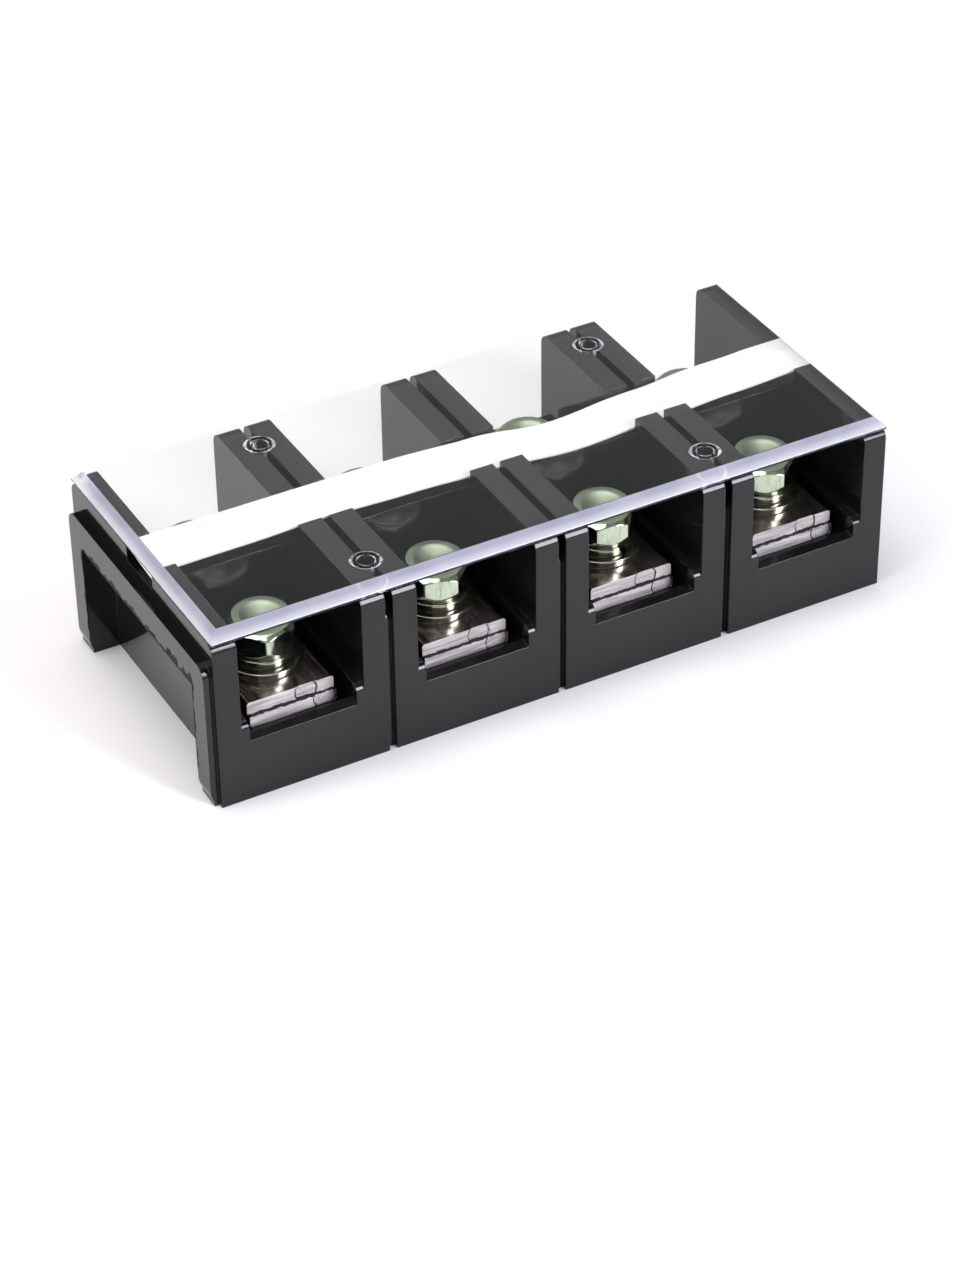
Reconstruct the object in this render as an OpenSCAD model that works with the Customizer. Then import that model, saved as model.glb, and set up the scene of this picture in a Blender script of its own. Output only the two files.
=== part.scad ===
// Four-pole barrier terminal block with screw-down bar terminals and a clear lift-off cover.
// The block stands on its base: X runs along the row of poles, Y from front to back, Z upwards.

/* [Conductor bars] */
// Width of each flat bar
bar_w = 18.6; // [16:0.1:26]
// Thickness of each flat bar
bar_t = 3; // [2:0.1:5]
// Distance of the bars' front ends from the front face
bar_setback = 5.6; // [4:0.1:8]
// Distance of the bars' back ends from the back face
bar_back_gap = 0.4; // [0.1:0.1:1]
// Free width left in the slot beside the bars
bar_play = 4.2; // [2:0.1:6]
// Sideways offset of the lower bar under the upper one
bar_stagger = 0.5; // [0:0.1:0.8]
// Corner break along the long edges of a bar
bar_edge = 0.4; // [0.2:0.1:0.8]
// Diameter of the round press mark in a bar's end face
mark_d = 5; // [3:0.1:6]
// Depth of the press mark
mark_depth = 0.2; // [0.1:0.05:0.4]
// Distance of the press mark from the right edge of the lower bar
mark_in_lower = 2.6; // [1:0.1:5]
// Distance of the press mark from the right edge of the upper bar
mark_in_upper = 6; // [1:0.1:8]

/* [Terminal bolts] */
// Thread diameter of the bolts
bolt_d = 8; // [6:0.5:10]
// Length of the bolt below its head
bolt_len = 16; // [14:0.5:17]
// Size of the hexagon across its flats
head_af = 12.5; // [11:0.1:14]
// Height of the bolt head
head_h = 6; // [5:0.1:8]
// Height of the round collar under the flats
collar_h = 0.8; // [0.6:0.1:2]
// Radius of the collar as a share of half the size across flats
collar_share = 0.98; // [0.9:0.01:0.99]
// Slope of the cone between the collar and the flats, in degrees
under_slope = 50; // [40:1:50]
// Slope of the crown over the flats, in degrees
crown_slope = 30; // [20:1:40]
// Radius of the flat crown as a share of half the size across flats
crown_share = 0.92; // [0.8:0.01:0.96]
// Diameter of the dished top of the head
dish_d = 8.4; // [6:0.1:9]
// Depth of the dished top of the head
dish_depth = 1.1; // [0.6:0.1:2]
// Running clearance around the bolt in the bars
bolt_clearance = 0.05; // [0.02:0.01:0.1]
// Distance of the bolt axes from the front and back faces
terminal_setback = 17.5; // [16:0.5:20]

/* [Washers] */
// Outer diameter of the flat washer
flat_od = 16; // [14:0.5:18]
// Thickness of the flat washer
flat_t = 1.6; // [1:0.1:2.5]
// Outer diameter of the spring washer
spring_od = 13; // [12.4:0.2:15]
// Thickness of the spring washer
spring_t = 1.8; // [1.5:0.1:2.6]
// Gap at the split of the spring washer
spring_split = 1.1; // [0.6:0.1:2]
// Radial clearance between a washer and the bolt
washer_clearance = 0.15; // [0.1:0.05:0.4]

/* [Pole housing] */
// Thickness of the barrier wall on each side of a pole
wall_t = 5.1; // [4.5:0.1:7]
// Width of the ledges along both sides of the bars
ledge_w = 1.65; // [1:0.05:2.5]
// Height of the seat that the bars lie on
seat_h = 12; // [11:0.5:18]
// Height of the lip before the bars' front ends above their seat
lip_rise = 2; // [1:0.1:3]
// Thickness of the lip
lip_t = 2.8; // [2:0.1:3.6]
// Fall of the lip's top towards the front face
lip_fall = 0.25; // [0.1:0.05:0.6]
// Thickness of the floor under the bars
floor_t = 4; // [3:0.1:6]
// Free height between the bolt heads and the cover
head_room = 10.6; // [7.5:0.1:14]
// Free gap between the flat washers and the middle ridge
ridge_gap = 1.1; // [0.6:0.1:6]
// Clearance of the ridge over the bars
tunnel_clearance = 0.15; // [0.1:0.05:0.5]
// Radius of the wall tops at the front and back
wall_round = 2.5; // [1:0.1:4]
// Radius of the ledge tops at the front and back
ledge_round = 1.8; // [1:0.1:2.5]

/* [Base] */
// Thickness of the outer walls round the hollow base
base_wall = 3.6; // [3:0.1:5]
// Thickness of the ribs between the hollow cells
rib_t = 2; // [1.2:0.1:3]
// Outer diameter of the boss round each bolt well
boss_d = 13; // [11:0.5:16]
// Radial clearance of the well round the bolt tip
well_clearance = 0.6; // [0.4:0.1:1.2]
// Depth of the well below the bolt tip
well_spare = 0.6; // [0.4:0.1:1.5]
// Thickness of the closed end of the well
well_floor = 2; // [1:0.1:2]

/* [Side flange] */
// Thickness of the flange, which is also the groove between two poles
flange_t = 1.65; // [1:0.05:3]
// Inset of the flange from the front and back faces
flange_inset = 1.2; // [0.6:0.1:3]
// Drop of the flange top below the wall tops
flange_drop = 5.5; // [5.4:0.1:8]
// Height of the band along the top of the flange
flange_band = 6.7; // [4:0.1:8]
// Width of the two flange legs
flange_leg = 5.6; // [4:0.1:8]
// Radius of the upper flange corners
flange_corner = 3; // [1:0.1:3.8]
// Height of the rounded toe at the foot of the flange
toe_h = 3.6; // [3:0.1:6]
// Thickness left at the very foot of the flange
toe_t = 0.3; // [0.2:0.05:0.6]
// Wall left between the side recess and the bar slot
recess_wall = 2; // [1.5:0.1:3]
// Wall left behind the top of the side recess
recess_top_wall = 3; // [2.5:0.1:4]
// Height of the upright part of the side recess
recess_knee = 13; // [8:0.5:14]

/* [Marker strip] */
// Width of the channel for the strip, which is also the ridge width
channel_w = 11.8; // [8:0.2:14]
// Depth of the channel below the wall tops
channel_depth = 3.3; // [2:0.1:4]
// Thickness of the strip
strip_t = 0.4; // [0.2:0.1:0.8]
// Clearance on both sides of the strip
strip_clearance = 0.3; // [0.1:0.1:0.6]
// Distance of the strip ends from the end walls
strip_end = 0.4; // [0.2:0.1:4]

/* [Clear cover] */
// Thickness of the cover sheet
cover_t = 2.5; // [1.5:0.1:4]
// Width of the sloped rim of the cover
cover_rim = 2.05; // [1:0.05:3]
// Height of the upright lip below the sloped rim
cover_lip = 0.5; // [0.3:0.1:1]
// Outer diameter of the snap pegs
peg_d = 6.2; // [4:0.1:7]
// Bore of the snap pegs
peg_bore = 3.2; // [2:0.1:3.4]
// Length of the snap pegs below the sheet
peg_len = 5; // [3:0.1:5]
// Radial clearance of the pegs in their pockets
peg_clearance = 0.08; // [0.05:0.01:0.1]
// Distance of the peg axes from the front and back faces
peg_setback = 9.3; // [7:0.1:12]

/* [Hidden] */
$fn = 64;
// A cut runs past the face that it opens by this much
past = 1;
pole_count = 4;
poles = [1 : pole_count];
// Rows of terminals: name, and direction of the row seen from the middle
row_names = ["front", "back"];
row_signs = [-1, 1];
rows = [0, 1];

// Heights of the terminal stack, from the seat up to the wall tops
bar_top = seat_h + 2 * bar_t;
flat_top = bar_top + flat_t;
head_base = flat_top + spring_t;
wall_h = head_base + head_h + head_room;
channel_h = wall_h - channel_depth;
flange_h = wall_h - flange_drop;
recess_h = flange_h - flange_band;

// Plan sizes
slot_x = wall_t + ledge_w;
slot_w = bar_w + bar_play;
pole_w = slot_w + 2 * slot_x;
pole_pitch = pole_w + flange_t;
body_d = 2 * (terminal_setback + flat_od / 2 + ridge_gap) + channel_w;
body_l = pole_count * pole_pitch - flange_t;
body_x = flange_t / 2 - body_l / 2;
ridge_y = (body_d - channel_w) / 2;
bar_x = (pole_w - bar_w) / 2;
bar_len = body_d - bar_setback - bar_back_gap;
bolt_x = pole_w / 2;
row_offset = body_d / 2 - terminal_setback;

// Well under each bolt tip
well_d = bolt_d + 2 * well_clearance;
tip_depth = bolt_len - flat_t - spring_t - 2 * bar_t;
well_h = seat_h - tip_depth - well_spare;
boss_h = well_h - well_floor;
cell_top = seat_h - floor_t;

// The bolts were tightened to chance angles, so each hexagon and each washer split has its own
head_turn = [[14, -17, -7, -21], [12, -25, 20, 7]];
split_turn = [[60, 130, -77, 100], [40, 200, -150, 10]];

// Pegs stand over the first and the third groove between poles
peg_grooves = [1, 3];
peg_row = body_d / 2 - peg_setback;

// The strip waves in its channel: share of the free height at equal steps along it
strip_wave = [0.70, 0.75, 0.88, 0.70, 0.45, 0.0, 0.30, 0.60, 0.85];
wave_steps = len(strip_wave) - 1;
strip_points = 48;

// Left face of a pole's own body, without its flange
function pole_x(i) = body_x + (i - 1) * pole_pitch;

// Middle of the groove to the right of a pole
function groove_x(i) = pole_x(i) + pole_w + flange_t / 2;

// Height of the strip at a share u of its length, eased between the stations
function wave_share(u) =
    let (k = min(floor(u * wave_steps), wave_steps - 1), t = u * wave_steps - k)
    strip_wave[k] + (strip_wave[k + 1] - strip_wave[k]) * (1 - cos(180 * t)) / 2;

// Moves a pole's own frame, with its corner at the front left foot, to its place in the row
module at_pole(i) {
    translate([pole_x(i), -body_d / 2, 0])
        children();
}

// Moves a terminal's own frame, with its origin on the bolt axis, to its place
module at_terminal(r, i, z) {
    translate([pole_x(i) + bolt_x, row_signs[r] * row_offset, z])
        children();
}

// Stands a drawing on edge: its first axis runs along Y, its second along Z, its depth along X
module along_x(x, depth) {
    translate([x, 0, 0])
        rotate([90, 0, 90])
            linear_extrude(depth)
                children();
}

// Stands a drawing on edge: its first axis runs along X, its second along Z, its depth along Y
module along_y(y, depth) {
    translate([0, y + depth, 0])
        rotate([90, 0, 0])
            linear_extrude(depth)
                children();
}

// Rectangle with its two upper corners rounded
module round_top(a, b, height, r) {
    translate([a, 0])
        square([b - a, height - r]);
    translate([a + r, 0])
        square([b - a - 2 * r, height]);
    for (c = [a + r, b - r])
        translate([c, height - r])
            circle(r);
}

// Flange section: a plate whose outer foot curves in towards the pole's side face
module flange_section() {
    toe_in = flange_t - toe_t;
    toe_r = (toe_h * toe_h + toe_in * toe_in) / (2 * toe_in);
    difference() {
        translate([-flange_t, 0])
            square([2 * flange_t, flange_h]);
        difference() {
            translate([-flange_t - past, -past])
                square([flange_t, toe_h + past]);
            translate([toe_r - flange_t, toe_h])
                circle(toe_r);
        }
    }
}

// Flange on the left side, as an arch that stands proud of the pole
module side_flange() {
    intersection() {
        along_x(-flange_t, 2 * flange_t)
            round_top(flange_inset, body_d - flange_inset, flange_h, flange_corner);
        along_y(0, body_d)
            flange_section();
    }
}

// Recess under the arch: upright at the foot, leaning outwards above the knee
module side_recess() {
    deep_x = slot_x - recess_wall;
    top_x = wall_t - recess_top_wall;
    inner_y = flange_inset + flange_leg;
    along_y(inner_y, body_d - 2 * inner_y)
        polygon([
            [-flange_t - past, -past],
            [deep_x, -past],
            [deep_x, recess_knee],
            [top_x, recess_h],
            [-flange_t - past, recess_h]
        ]);
}

// Hollow cells under the floor, two across and four from front to back
module base_cells() {
    across = 2;
    deep = 4;
    cell_w = (pole_w - slot_x - base_wall - (across - 1) * rib_t) / across;
    cell_d = (body_d - 2 * base_wall - (deep - 1) * rib_t) / deep;
    difference() {
        for (a = [0 : across - 1])
            for (b = [0 : deep - 1])
                translate([slot_x + a * (cell_w + rib_t), base_wall + b * (cell_d + rib_t), -past])
                    cube([cell_w, cell_d, cell_top + past]);
        for (y = [terminal_setback, body_d - terminal_setback])
            translate([bolt_x, y, boss_h])
                cylinder(d = boss_d, h = seat_h - boss_h);
    }
}

// Round pockets for the cover pegs, in the wall beside a groove
module peg_pockets(x) {
    for (y = [peg_setback, body_d - peg_setback])
        translate([x, y, wall_h - peg_len - 2 * peg_clearance])
            cylinder(r = peg_d / 2 + peg_clearance, h = peg_len + past);
}

// Section of the lip before the bars' front ends; the back is open, so that the bars slide in under the ridge
module lip_section() {
    lip_h = seat_h + lip_rise;
    polygon([[0, 0], [lip_t, 0], [lip_t, lip_h], [0, lip_h - lip_fall]]);
}

// One moulded pole: base, two barrier walls, ledges, middle ridge and side flange
module pole_housing(i) {
    groove_mid = flange_t / 2;
    color([0.13, 0.13, 0.14])
    at_pole(i)
    difference() {
        union() {
            cube([pole_w, body_d, seat_h]);
            along_x(0, pole_w)
                lip_section();
            for (x = [0, pole_w - wall_t])
                along_x(x, wall_t)
                    round_top(0, body_d, wall_h, wall_round);
            for (x = [0, pole_w - slot_x])
                along_x(x, slot_x)
                    round_top(0, body_d, bar_top, ledge_round);
            translate([0, ridge_y, bar_top + tunnel_clearance])
                cube([pole_w, channel_w, channel_h - bar_top - tunnel_clearance]);
            side_flange();
        }
        side_recess();
        base_cells();
        for (y = [terminal_setback, body_d - terminal_setback])
            translate([bolt_x, y, well_h])
                cylinder(d = well_d, h = seat_h - well_h + past);
        translate([-past, ridge_y, channel_h])
            cube([pole_w + 2 * past, channel_w, channel_depth + past]);
        for (g = peg_grooves) {
            if (i == g)
                peg_pockets(pole_w + groove_mid);
            if (i == g + 1)
                peg_pockets(-groove_mid);
        }
    }
}

// Section of a bar with its long edges broken
module bar_section() {
    e = bar_edge;
    polygon([
        [e, 0], [bar_w - e, 0], [bar_w, e], [bar_w, bar_t - e],
        [bar_w - e, bar_t], [e, bar_t], [0, bar_t - e], [0, e]
    ]);
}

// Flat bar that carries the current from the front terminal to the back one
module bar(i, z, shift, mark_x) {
    color([0.80, 0.76, 0.75])
    at_pole(i)
    difference() {
        translate([bar_x + shift, 0, z])
            along_y(bar_setback, bar_len)
                bar_section();
        for (y = [terminal_setback, body_d - terminal_setback])
            translate([bolt_x, y, z - past])
                cylinder(r = bolt_d / 2 + bolt_clearance, h = bar_t + 2 * past);
        for (y = [bar_setback - past, body_d - bar_back_gap - mark_depth])
            translate([mark_x, y, z + bar_t / 2])
                rotate([-90, 0, 0])
                    cylinder(d = mark_d, h = mark_depth + past);
    }
}

module lower_bar(i) {
    bar(i, seat_h, bar_stagger, bar_x + bar_stagger + bar_w - mark_in_lower);
}

module upper_bar(i) {
    bar(i, seat_h + bar_t, 0, bar_x + bar_w - mark_in_upper);
}

module flat_washer(r, i) {
    color([0.72, 0.75, 0.66])
    at_terminal(r, i, bar_top)
    difference() {
        cylinder(d = flat_od, h = flat_t);
        translate([0, 0, -past])
            cylinder(r = bolt_d / 2 + washer_clearance, h = flat_t + 2 * past);
    }
}

// Spring washer pressed flat, with a slanting split
module spring_washer(r, i) {
    slant = 25;
    color([0.66, 0.69, 0.60])
    at_terminal(r, i, flat_top)
    difference() {
        cylinder(d = spring_od, h = spring_t);
        translate([0, 0, -past])
            cylinder(r = bolt_d / 2 + washer_clearance, h = spring_t + 2 * past);
        rotate([0, 0, split_turn[r][i - 1]])
            translate([0, 0, spring_t / 2])
                rotate([slant, 0, 0])
                    translate([0, -spring_split / 2, -2 * spring_t])
                        cube([spring_od, spring_split, 4 * spring_t]);
    }
}

// Turned envelope of the bolt head: a collar, then a cone that bares the flats, and a sloped crown
module head_envelope() {
    outer_r = head_af / sqrt(3) + past;
    collar_r = collar_share * head_af / 2;
    crown_r = crown_share * head_af / 2;
    rotate_extrude()
        polygon([
            [0, 0],
            [collar_r, 0],
            [collar_r, collar_h],
            [outer_r, collar_h + (outer_r - collar_r) * tan(under_slope)],
            [outer_r, head_h - (outer_r - crown_r) * tan(crown_slope)],
            [crown_r, head_h],
            [0, head_h]
        ]);
}

// Hexagon bolt with a dished head and a pointed shank
module terminal_bolt(r, i) {
    tip = bolt_d / 8;
    dish_r = (dish_d * dish_d / 4 + dish_depth * dish_depth) / (2 * dish_depth);
    color([0.72, 0.77, 0.65])
    at_terminal(r, i, head_base) {
        difference() {
            intersection() {
                rotate([0, 0, head_turn[r][i - 1]])
                    translate([0, 0, -past])
                        cylinder(d = 2 * head_af / sqrt(3), h = head_h + 2 * past, $fn = 6);
                head_envelope();
            }
            translate([0, 0, head_h - dish_depth + dish_r])
                sphere(dish_r);
        }
        rotate_extrude()
            polygon([
                [0, past],
                [bolt_d / 2, past],
                [bolt_d / 2, tip - bolt_len],
                [bolt_d / 2 - tip, -bolt_len],
                [0, -bolt_len]
            ]);
    }
}

// Section of the cover sheet across one of its sides, with a lip and a sloped rim
module cover_section(length) {
    polygon([
        [0, 0],
        [length, 0],
        [length, cover_lip],
        [length - cover_rim, cover_t],
        [cover_rim, cover_t],
        [0, cover_lip]
    ]);
}

// Clear sheet with a sloped rim all round and four hollow pegs below it
module clear_cover() {
    color([0.85, 0.88, 0.95, 0.4])
    difference() {
        union() {
            translate([body_x, -body_d / 2, wall_h])
                intersection() {
                    along_y(0, body_d)
                        cover_section(body_l);
                    along_x(0, body_l)
                        cover_section(body_d);
                }
            for (g = peg_grooves)
                for (s = row_signs)
                    translate([groove_x(g), s * peg_row, wall_h - peg_len])
                        cylinder(d = peg_d, h = peg_len + cover_lip);
        }
        for (g = peg_grooves)
            for (s = row_signs)
                translate([groove_x(g), s * peg_row, wall_h - peg_len - past])
                    cylinder(d = peg_bore, h = peg_len + past);
    }
}

// Thin strip that lies in the channel over the ridges
module marker_strip() {
    length = body_l - 2 * strip_end;
    free = channel_depth - strip_t;
    low = [for (k = [0 : strip_points]) [length * k / strip_points, free * wave_share(k / strip_points)]];
    high = [for (k = [strip_points : -1 : 0]) low[k] + [0, strip_t]];
    color([0.96, 0.96, 0.95])
    translate([body_x + strip_end, 0, channel_h])
        along_y(strip_clearance - channel_w / 2, channel_w - 2 * strip_clearance)
            polygon(concat(low, high));
}

for (i = poles) {
    pole_housing(i);
    lower_bar(i);
    upper_bar(i);
    for (r = rows) {
        flat_washer(r, i);
        spring_washer(r, i);
        terminal_bolt(r, i);
    }
}
marker_strip();
clear_cover();
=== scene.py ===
import math

import bpy
import numpy as np
from mathutils import Matrix, Quaternion, Vector


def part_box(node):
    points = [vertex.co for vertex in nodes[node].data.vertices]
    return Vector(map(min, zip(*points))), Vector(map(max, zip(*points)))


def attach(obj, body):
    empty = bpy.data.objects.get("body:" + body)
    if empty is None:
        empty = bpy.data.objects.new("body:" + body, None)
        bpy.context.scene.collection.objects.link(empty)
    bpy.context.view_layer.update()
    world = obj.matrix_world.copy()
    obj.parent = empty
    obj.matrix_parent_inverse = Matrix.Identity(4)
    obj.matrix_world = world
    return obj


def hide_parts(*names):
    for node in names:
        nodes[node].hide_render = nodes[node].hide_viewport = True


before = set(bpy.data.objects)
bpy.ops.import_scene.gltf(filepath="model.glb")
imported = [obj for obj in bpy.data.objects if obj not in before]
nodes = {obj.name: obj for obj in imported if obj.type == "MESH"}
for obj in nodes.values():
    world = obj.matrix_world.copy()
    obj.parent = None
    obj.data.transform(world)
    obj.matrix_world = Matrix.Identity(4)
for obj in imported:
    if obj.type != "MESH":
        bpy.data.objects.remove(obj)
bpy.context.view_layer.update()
bpy.context.scene.view_settings.view_transform = "Standard"
print("frame loaded:", len(nodes), "nodes")

# lengths in the dictionaries are millimetres, angles are degrees; the studio's and the camera's are metres
mm = 0.001


# Tools for meshes

def gridFaces(rows, cols, wrapCols=False, wrapRows=False):
    # quads between neighbouring rows and columns; a wrap joins the last one to the first
    r = np.arange(rows if wrapRows else rows - 1)[:, None]
    c = np.arange(cols if wrapCols else cols - 1)[None, :]
    here, below, beside = r * cols, (r + 1) % rows * cols, (c + 1) % cols
    return np.stack([here + c, here + beside, below + beside, below + c], -1).reshape(-1, 4)


def roundAxis(r, angle, z):
    # points (r cos(angle), r sin(angle), z), row by row
    return np.stack(np.broadcast_arrays(r * np.cos(angle), r * np.sin(angle), z), -1).reshape(-1, 3)


def fullTurn(count):
    return np.linspace(0, 2 * np.pi, count, endpoint=False)


def meshPiece(name, verts, faces, material, body, smooth=True):
    faceList = faces if isinstance(faces, list) else faces.tolist()
    mesh = bpy.data.meshes.new(name)
    mesh.from_pydata(np.asarray(verts, float).tolist(), [], faceList)
    mesh.polygons.foreach_set("use_smooth", np.full(len(mesh.polygons), smooth))
    mesh.materials.append(material)
    mesh.update()
    piece = bpy.data.objects.new(name, mesh)
    bpy.context.scene.collection.objects.link(piece)
    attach(piece, body)
    return piece


# Tools for shader nodes

def addNode(tree, kind, x, y, **values):
    n = tree.nodes.new(kind)
    n.location = (x, y)
    for key, value in values.items():
        setattr(n, key, value)
    return n


def feed(tree, node, values):
    # each value goes to the input of that name or number: a socket is linked, anything else is set there
    for label, value in values.items():
        socket = node.inputs[label]
        if isinstance(value, bpy.types.NodeSocket):
            tree.links.new(value, socket)
        else:
            socket.default_value = value


def addMath(tree, kind, x, y, *values, clamp=False):
    n = addNode(tree, "ShaderNodeMath", x, y, operation=kind, use_clamp=clamp)
    feed(tree, n, dict(enumerate(values)))
    return n.outputs[0]


def addMix(tree, x, y, factor, first, second, kind="RGBA"):
    n = addNode(tree, "ShaderNodeMix", x, y, data_type=kind)
    feed(tree, n, {"Factor": factor, "A": first, "B": second})
    return n.outputs["Result"]


def addSpan(tree, x, y, value, source, target=(0.0, 1.0)):
    # carries the source span to the target span and holds at both ends
    n = addNode(tree, "ShaderNodeMapRange", x, y)
    feed(tree, n, {"Value": value, "From Min": source[0], "From Max": source[1],
                   "To Min": target[0], "To Max": target[1]})
    return n.outputs["Result"]


def addNoise(tree, x, y, place, scale, detail):
    n = addNode(tree, "ShaderNodeTexNoise", x, y)
    feed(tree, n, {"Vector": place, "Scale": scale, "Detail": detail})
    return n.outputs["Fac"]


def addCoord(tree, x, y, kind="Object"):
    return addNode(tree, "ShaderNodeTexCoord", x, y).outputs[kind]


def addSplit(tree, x, y, vector):
    n = addNode(tree, "ShaderNodeSeparateXYZ", x, y)
    tree.links.new(vector, n.inputs[0])
    return n.outputs["X"], n.outputs["Y"], n.outputs["Z"]


def newGroup(name, inputs, outputs):
    # inputs: (name, kind, start value); outputs: (name, kind)
    group = bpy.data.node_groups.new(name, "ShaderNodeTree")
    for label, kind, start in inputs:
        socket = group.interface.new_socket(label, in_out="INPUT", socket_type="NodeSocket" + kind)
        socket.default_value = start
    for label, kind in outputs:
        group.interface.new_socket(label, in_out="OUTPUT", socket_type="NodeSocket" + kind)
    source = addNode(group, "NodeGroupInput", -900, 0)
    return group, source.outputs, addNode(group, "NodeGroupOutput", 700, 0)


def placeGroup(tree, group, x, y, **values):
    n = addNode(tree, "ShaderNodeGroup", x, y, node_tree=group)
    feed(tree, n, values)
    return n.outputs


# Shared surface effects

grainNoise = {"detail": 4.0, "spread": (0.3, 0.7)}
speckNoise = {"detail": 2.0, "patchScale": 60.0}
tintNoise = {"detail": 3.0, "spread": (0.35, 0.65)}


def makeGrainGroup(s):
    # noise on object coordinates, pulled out by Stretch: Height is the noise itself, and Value carries its
    # spread to Low..High
    g, given, sink = newGroup(
        "surfaceGrain",
        [("Scale", "Float", 900.0), ("Stretch", "Vector", (1.0, 1.0, 1.0)),
         ("Low", "Float", 0.3), ("High", "Float", 0.45)],
        [("Value", "Float"), ("Height", "Float")])
    pull = addNode(g, "ShaderNodeVectorMath", -650, 200, operation="MULTIPLY")
    feed(g, pull, {0: addCoord(g, -900, 300), 1: given["Stretch"]})
    noise = addNoise(g, -400, 200, pull.outputs[0], given["Scale"], s["detail"])
    value = addSpan(g, -100, 100, noise, s["spread"], (given["Low"], given["High"]))
    feed(g, sink, {"Value": value, "Height": noise})
    return g


def makeSpeckGroup(s):
    # scattered round specks: cells whose point is nearer than Size, kept where a slow noise is under Amount
    g, given, sink = newGroup(
        "dustSpecks",
        [("Scale", "Float", 400.0), ("Size", "Float", 0.12), ("Amount", "Float", 0.5)],
        [("Mask", "Float")])
    place = addCoord(g, -900, 300)
    cells = addNode(g, "ShaderNodeTexVoronoi", -600, 250)
    feed(g, cells, {"Vector": place, "Scale": given["Scale"]})
    near = addMath(g, "LESS_THAN", -350, 250, cells.outputs["Distance"], given["Size"])
    patch = addNoise(g, -600, -50, place, s["patchScale"], s["detail"])
    keep = addMath(g, "LESS_THAN", -350, -50, patch, given["Amount"])
    feed(g, sink, {"Mask": addMath(g, "MULTIPLY", -100, 100, near, keep)})
    return g


def makeTintGroup(s):
    # slow change between two colours
    g, given, sink = newGroup(
        "slowTint",
        [("Scale", "Float", 80.0), ("First", "Color", (0.5, 0.5, 0.5, 1)),
         ("Second", "Color", (0.6, 0.6, 0.6, 1))],
        [("Color", "Color")])
    noise = addNoise(g, -600, 200, addCoord(g, -900, 300), given["Scale"], s["detail"])
    share = addSpan(g, -350, 200, noise, s["spread"])
    feed(g, sink, {"Color": addMix(g, 0, 100, share, given["First"], given["Second"])})
    return g


grainGroup = makeGrainGroup(grainNoise)
speckGroup = makeSpeckGroup(speckNoise)
tintGroup = makeTintGroup(tintNoise)


def addTint(tree, x, y, scale, first, second):
    return placeGroup(tree, tintGroup, x, y, Scale=scale, First=first, Second=second)["Color"]


def addGrain(tree, x, y, scale, span=(0.3, 0.45), stretch=(1.0, 1.0, 1.0)):
    return placeGroup(tree, grainGroup, x, y, Scale=scale, Stretch=stretch, Low=span[0], High=span[1])


def newMaterial(name):
    m = bpy.data.materials.new(name)
    m.use_nodes = True
    return m, m.node_tree, m.node_tree.nodes["Principled BSDF"]


def addBump(tree, shader, height, strength, depth, base=None):
    n = addNode(tree, "ShaderNodeBump", -250, -400)
    feed(tree, n, {"Height": height, "Strength": strength, "Distance": depth * mm})
    if base is not None:
        feed(tree, n, {"Normal": base})
    feed(tree, shader, {"Normal": n.outputs["Normal"]})


# Materials

# the cover's sheet, and its pegs, which stand in the grooves after these poles
cover = {"sheet": 2.5, "lip": 0.5, "pegSetback": 9.3, "grooveHalf": 0.825, "pegGrooves": (1, 3)}

moulding = {"dark": (0.0036, 0.0035, 0.0040, 1), "worn": (0.0056, 0.0055, 0.0062, 1), "tintScale": 60.0,
            "dust": (0.055, 0.055, 0.06, 1), "speckScale": 520.0, "speckSize": 0.045, "speckAmount": 0.36,
            "topGrey": (0.046, 0.045, 0.047, 1), "topDepth": 0.1, "rough": (0.08, 0.13), "roughScale": 700.0,
            "ior": 1.43, "fineScale": 5200.0, "bump": 0.06, "bumpDepth": 0.02,
            "softEdge": 0.25, "softSamples": 4}


def makeMoulding(s):
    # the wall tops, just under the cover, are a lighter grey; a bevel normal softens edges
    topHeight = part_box("clear_cover")[1].z - (cover["sheet"] + s["topDepth"]) * mm
    m, tree, shader = newMaterial("blackMoulding")
    tint = addTint(tree, -900, 300, s["tintScale"], s["dark"], s["worn"])
    specks = placeGroup(tree, speckGroup, -900, 0, Scale=s["speckScale"], Size=s["speckSize"],
                        Amount=s["speckAmount"])
    dusty = addMix(tree, -500, 250, specks["Mask"], tint, s["dust"])
    _, _, z = addSplit(tree, -1100, 500, addCoord(tree, -1300, 500))
    above = addMath(tree, "GREATER_THAN", -700, 500, z, topHeight)
    grain = addGrain(tree, -900, -300, s["roughScale"], s["rough"])
    feed(tree, shader, {"Base Color": addMix(tree, -250, 350, above, dusty, s["topGrey"]),
                        "Roughness": grain["Value"], "IOR": s["ior"]})
    fine = addGrain(tree, -900, -550, s["fineScale"])
    soft = addNode(tree, "ShaderNodeBevel", -500, -650, samples=s["softSamples"])
    feed(tree, soft, {"Radius": s["softEdge"] * mm})
    addBump(tree, shader, fine["Height"], s["bump"], s["bumpDepth"], soft.outputs["Normal"])
    return m


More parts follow.
